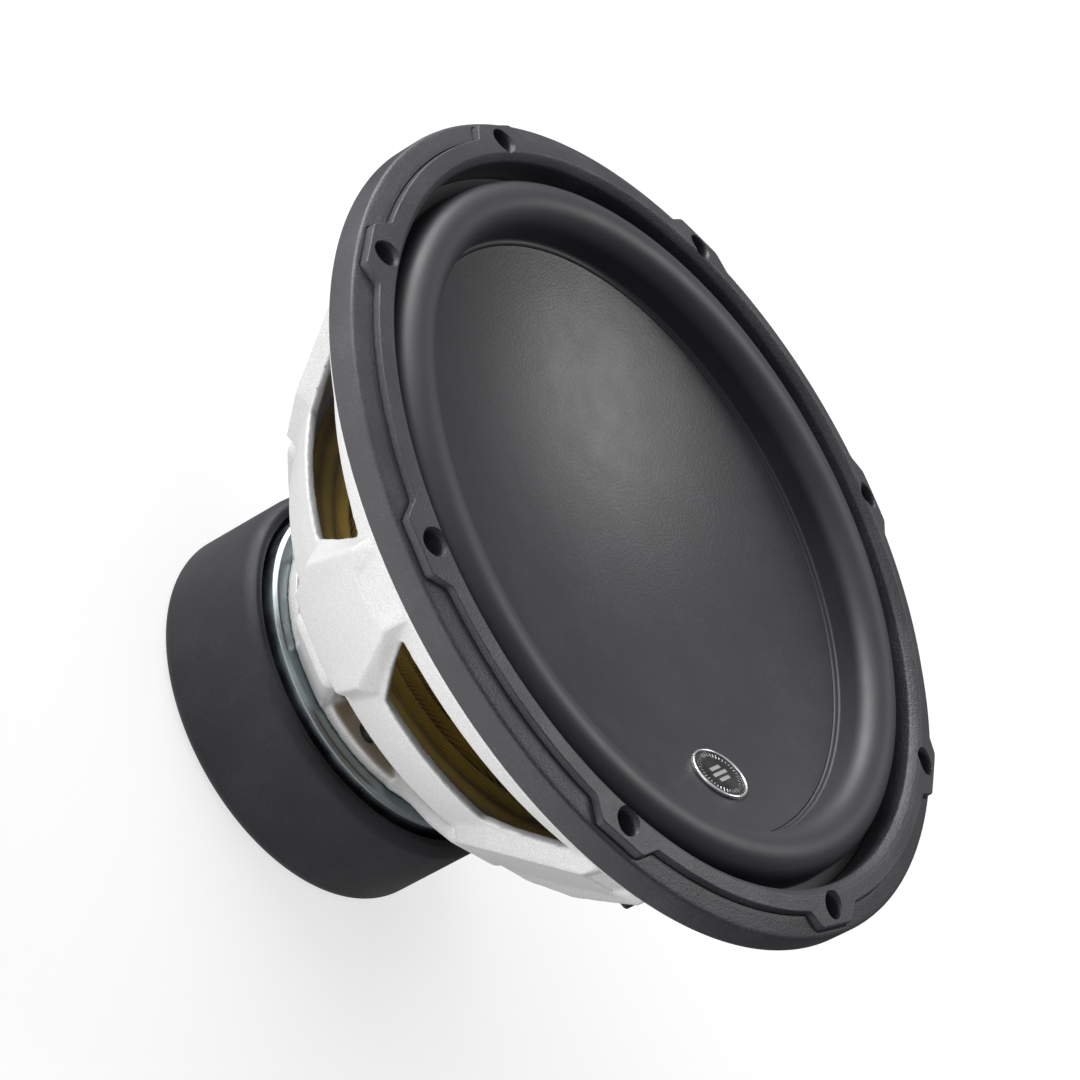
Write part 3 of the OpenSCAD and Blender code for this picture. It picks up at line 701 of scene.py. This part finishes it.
def badge():
    place = badge_frame()
    r = BADGE_R
    outline = rounded([(r - 1.25, 0), (r, 0), (r, 0.75), (r - 0.35, 1.25), (r - 0.9, 1.3), (r - 1.25, 0.9)],
                      [0, 0.05, 0.2, 0.3, 0.3, 0.1])
    bezel = revolve("badge_ring", outline, 128)
    bezel.data.transform(place)
    replace(bezel, "badge_bezel", body=MOVING, material=MATERIALS["bright_metal"], slot="bright_metal")
    disc = [(0, 0), (r - 1.3, 0), (r - 1.3, 0.55), (r - 1.5, 0.62), (r * 0.62, 0.62), (r * 0.6, 0.5), (0, 0.5)]
    plate = revolve("badge_disc", disc, 128)
    plate.data.transform(place)
    replace(plate, "badge_face", body=MOVING, material=MATERIALS["badge_black"], slot="badge_black")
    raised = bmesh.new()
    ticks = 40
    for i in range(ticks):
        size = (0.34, 1.5 if i % 5 else 2.1, 0.34)
        turn = Matrix.Rotation(2 * math.pi * i / ticks, 4, "Z") @ Matrix.Translation((0, r * 0.735, 0.72))
        bmesh.ops.create_cube(raised, size=1, matrix=turn @ Matrix.Diagonal((*size, 1)))
    for k in (-1, 0, 1):
        width = 9.2 - 2.6 * abs(k)
        turn = Matrix.Translation((0, 2.6 * k, 0.62))
        bmesh.ops.create_cube(raised, size=1, matrix=turn @ Matrix.Diagonal((width, 1.5, 0.5, 1)))
    bmesh.ops.bevel(raised, geom=raised.edges[:], offset=0.09, segments=2, affect="EDGES")
    bmesh.ops.scale(raised, vec=(MM, MM, MM), verts=raised.verts)
    marks = finish_mesh(raised, "badge_relief", 30)
    marks.data.transform(place)
    marks.data.materials.append(MATERIALS["bright_metal"])
    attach(marks, MOVING)


# ---- basket ----

HEM_R, HEM_Z = 91.0, 78.0
SHOULDER_R, SHOULDER_Z = 119.0, 118.0
SPOKES = 6
FIRST_SPOKE = 30
RIB_HEIGHT = 4.6
PANEL_HEIGHT = 2.6
VOXEL = 0.9
WINDOW_BOTTOM_Z, WINDOW_TOP_Z = 108.5, 136.5
WINDOW_BOTTOM_HALF, WINDOW_TOP_HALF = 26.5, 46.0
WINDOW_CUT_IN, WINDOW_CUT_OUT = 97.0, 146.0
# Rounds along a foot, from the hem inward: radius, height, half width and size of the round
FOOT_LINE = ((91.0, 81.0, 10.5, 4.6), (79.5, 71.5, 10.0, 4.4), (67.0, 62.0, 9.4, 3.4), (58.0, 54.0, 8.8, 3.2))


def spoke_place(k):
    """Matrix from (proud, sideways, up the slope) of spoke k's flat panel to the object."""
    slope = math.atan2(SHOULDER_R - HEM_R, SHOULDER_Z - HEM_Z)
    return (Matrix.Rotation(math.radians(FIRST_SPOKE + 360 / SPOKES * k), 4, "Z")
            @ Matrix.Translation(Vector((HEM_R, 0, HEM_Z)) * MM)
            @ Matrix.Rotation(slope, 4, "Y"))


def hull(bm, points, place):
    """Adds the convex solid round some points, given in millimetres in the place's own axes."""
    verts = [bm.verts.new(place @ (Vector(p) * MM)) for p in points]
    bmesh.ops.convex_hull(bm, input=verts)
    loose = [v for v in verts if v.is_valid and not v.link_faces]
    bmesh.ops.delete(bm, geom=loose, context="VERTS")


def spoke_ribs(bm, place):
    """Two ribs that frame the panel: an inner slope up from the valley, a crest and a steep outer side."""
    valley, low, wall = PANEL_HEIGHT - 0.1, -1.5, -2.6
    for side in (-1, 1):
        tip = [(wall, side * 11.0, 84), (wall, side * 15.5, 83)]
        upper = [(RIB_HEIGHT - 1.2, side * 15.0, 74), (PANEL_HEIGHT - 0.6, side * 8.0, 71),
                 (wall - 1, side * 8.0, 71), (wall - 1, side * 18.5, 73)]
        corner = [(RIB_HEIGHT, side * 23.0, 34), (valley, side * 13.5, 31), (low, side * 13.5, 31),
                  (low, side * 27.5, 35)]
        foot = [(RIB_HEIGHT - 0.9, side * 18.5, 12.5), (valley, side * 11.0, 8.5), (low, side * 11.0, 9.5),
                (low, side * 22.0, 12)]
        hull(bm, tip + upper, place)
        hull(bm, upper + corner, place)
        hull(bm, corner + foot, place)
    end = PANEL_HEIGHT - 0.05
    hull(bm, [(end, -12.5, 64), (end, 12.5, 64), (end, -13, 50), (end, 13, 50), (low, -12, 50), (low, 12, 50),
              (wall, -11.5, 82), (wall, 11.5, 82)], place)


def foot_bulge(bm, k):
    """A rounded slab over each foot, between the hem and the base ring."""
    turn = Matrix.Rotation(math.radians(FIRST_SPOKE + 360 / SPOKES * k), 4, "Z")
    rounds = []
    for r, z, half, soft in FOOT_LINE:
        points = []
        for side in (-1, 1):
            for ring in range(7):
                tilt = math.pi * ring / 6
                across = soft * math.sin(tilt)
                for step in range(12):
                    a = 2 * math.pi * step / 12
                    points.append((r + across * math.cos(a), side * half + across * math.sin(a),
                                   z + soft * math.cos(tilt)))
        rounds.append(points)
    for first, second in zip(rounds, rounds[1:]):
        hull(bm, first + second, turn)


def window_cutters():
    """Wedges that open each window outward, so that its rim is chamfered on the outside."""
    bm = bmesh.new()
    bottom, top = (WINDOW_BOTTOM_HALF, WINDOW_BOTTOM_Z), (WINDOW_TOP_HALF, WINDOW_TOP_Z)
    outline = [(-bottom[0], bottom[1]), bottom, top, (-top[0], top[1])]
    middle = (WINDOW_BOTTOM_Z + WINDOW_TOP_Z) / 2
    wider, taller = 2.5, 2.2 / 14
    inner = [(WINDOW_CUT_IN, u, z) for u, z in outline]
    outer = [(WINDOW_CUT_OUT, u * (1 + wider / abs(u)) * 1.02, middle + (z - middle) * (1 + taller))
             for u, z in outline]
    for k in range(SPOKES):
        hull(bm, inner + outer, Matrix.Rotation(math.radians(360 / SPOKES * k), 4, "Z"))
    return finish_mesh(bm, "window_cutters", 30)


def basket():
    """The CAD casting with its ribs, bulges and chamfers, skinned as one piece with soft cast edges."""
    casting = new_object("basket_casting", frame["nodes"]["basket"].data.copy())
    apply_boolean(casting, window_cutters())
    bm = bmesh.new()
    bm.from_mesh(casting.data)
    for k in range(SPOKES):
        spoke_ribs(bm, spoke_place(k))
        foot_bulge(bm, k)
    bm.to_mesh(casting.data)
    bm.free()
    skin = casting.modifiers.new("skin", "REMESH")
    skin.mode = "VOXEL"
    skin.voxel_size = VOXEL * MM
    soften = casting.modifiers.new("soften", "SMOOTH")
    soften.factor = 0.5
    soften.iterations = 6
    bake_modifiers(casting)
    for polygon in casting.data.polygons:
        polygon.use_smooth = True
    replace(casting, "basket", body=CHASSIS, material=MATERIALS["cast_silver"], slot="cast_silver")


# ---- spider, in sectors that each stretch outward from the coil ----

SPIDER_SECTORS = 24
SPIDER_EDGE = radius("spider")
SPIDER_BORE = radius("former_collar") + 0.05
SPIDER_T = 0.8
SPIDER_STEPS = 110


def spider_height(r):
    if r <= SPIDER_IN or r >= SPIDER_OUT:
        return 0
    u = (r - SPIDER_IN) / (SPIDER_OUT - SPIDER_IN)
    return SPIDER_WAVE_H * math.sin(2 * math.pi * SPIDER_WAVES * u) * min(1, 6 * u, 6 * (1 - u))


def spider():
    radii = [SPIDER_BORE + (SPIDER_EDGE - SPIDER_BORE) * i / SPIDER_STEPS for i in range(SPIDER_STEPS + 1)]
    outline = ([(r, LEDGE_Z + spider_height(r)) for r in radii]
               + [(r, LEDGE_Z + SPIDER_T + spider_height(r)) for r in reversed(radii)])
    turn = 360 / SPIDER_SECTORS
    for k in range(SPIDER_SECTORS):
        first = turn * k
        obj = revolve(f"spider_sector_{k + 1:02d}", outline, 12, first, turn, sharp=60)
        replace(obj, "spider", material=MATERIALS["spider_cloth"], slot="spider_cloth")
        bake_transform(obj)


# ---- motor ----

def boot():
    r = radius("magnet_boot")
    top = high_z("magnet_boot")
    inner = r - 6
    mouth = 14.0
    floor = 3
    curve = 5
    outline = (
        [(mouth, floor), (mouth, 1), (mouth + 0.4, 0.35), (mouth + 1.1, 0)]
        + arc(r - curve, curve, curve, 270, 360, 24)
        + [(r, top - 5.5), (r - 0.1, top - 4.2), (r - 0.5, top - 3.2), (r - 1.0, top - 2.2),
           (r - 2.2, top - 0.5), (r - 2.9, top - 0.1), (r - 3.6, top), (r - 4.4, top - 0.15),
           (inner + 0.7, top - 0.3), (inner + 0.2, top - 0.6), (inner, top - 1.2), (inner, floor)]
    )
    obj = revolve("boot", outline, 256, sharp=45)
    replace(obj, "magnet_boot", body=CHASSIS, material=MATERIALS["boot_rubber"], slot="boot_rubber")


def plate():
    r = radius("top_plate")
    bore = 33.6
    outline = rounded([(bore, PLATE_Z), (r, PLATE_Z), (r, BASE_Z - 1.4), (r - 1.4, BASE_Z), (bore, BASE_Z)],
                      [0.5, 0.4, 0.35, 0.35, 0.5])
    obj = revolve("front_plate", outline, 256)
    replace(obj, "top_plate", body=CHASSIS, material=MATERIALS["zinc_steel"], slot="zinc_steel")


# ---- leads and springs ----

LEAD_ROUTE = [
    (111, 9, 94.1), (111.7, 9, 97.5), (111.7, 8.9, 100.7), (109.6, 8.7, 103.2), (104, 8.2, 103.8),
    (99, 7.8, 102.6), (94, 7.4, 101.6), (88, 7, 101.4), (76, 6.6, 101.4), (64, 6, 101.4),
    (52, 5.4, 101.4), (42, 5, 101.8), (36, 4.8, 103), (33.6, 4.6, 103.4),
]
LEAD_R = 0.95
TERMINALS = {"a": 330, "b": 210}


def leads():
    for key, azimuth in TERMINALS.items():
        turn = Matrix.Rotation(math.radians(azimuth), 4, "Z")
        for side, word in ((1, "plus"), (-1, "minus")):
            path = [(x, side * y, z) for x, y, z in LEAD_ROUTE]
            obj = tube_along(f"lead_{key}_{word}", path, LEAD_R, 14, 8, twist=7)
            obj.data.transform(turn)
            replace(obj, f"tinsel_leads_{key}", material=MATERIALS["tinsel_braid"], slot="tinsel_braid")
            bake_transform(obj)


def springs():
    """A coil of spring wire in each spring's box, from its low end at the bottom of the box to its high end at
    the top.
    """
    turns, radius_mm, wire = 5, 2.8, 0.35
    for key in TERMINALS:
        for word in ("plus", "minus"):
            node = f"spring_{key}_{word}"
            lo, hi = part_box(node)
            centre = (lo + hi) / 2 / MM
            low, high = lo.z / MM + wire, hi.z / MM - wire
            count = turns * 16
            path = []
            for i in range(count + 1):
                a = 2 * math.pi * turns * i / count
                path.append((centre.x + radius_mm * math.cos(a), centre.y + radius_mm * math.sin(a),
                             low + (high - low) * i / count))
            obj = tube_along(f"coil_spring_{key}_{word}", path, wire, 8, 1)
            replace(obj, node, material=MATERIALS["spring_steel"], slot="spring_steel")
            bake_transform(obj)


# ---- the whole scene ----

def dress_cad_nodes():
    """CAD nodes that stay get the procedural material of their slot."""
    for row in frame["record"]["subparts"]:
        obj = frame["nodes"][row["node"]]
        material = MATERIALS[row["material_slot"]]
        if obj.material_slots:
            for holder in obj.material_slots:
                holder.material = material
        else:
            obj.data.materials.append(material)


bpy.context.scene.view_settings.view_transform = "Standard"
axes = add_camera()
add_world(axes)
add_lights(axes)
add_floor()
dress_cad_nodes()
basket()
trim_ring()
surround()
dish()
badge()
spider()
boot()
plate()
leads()
springs()
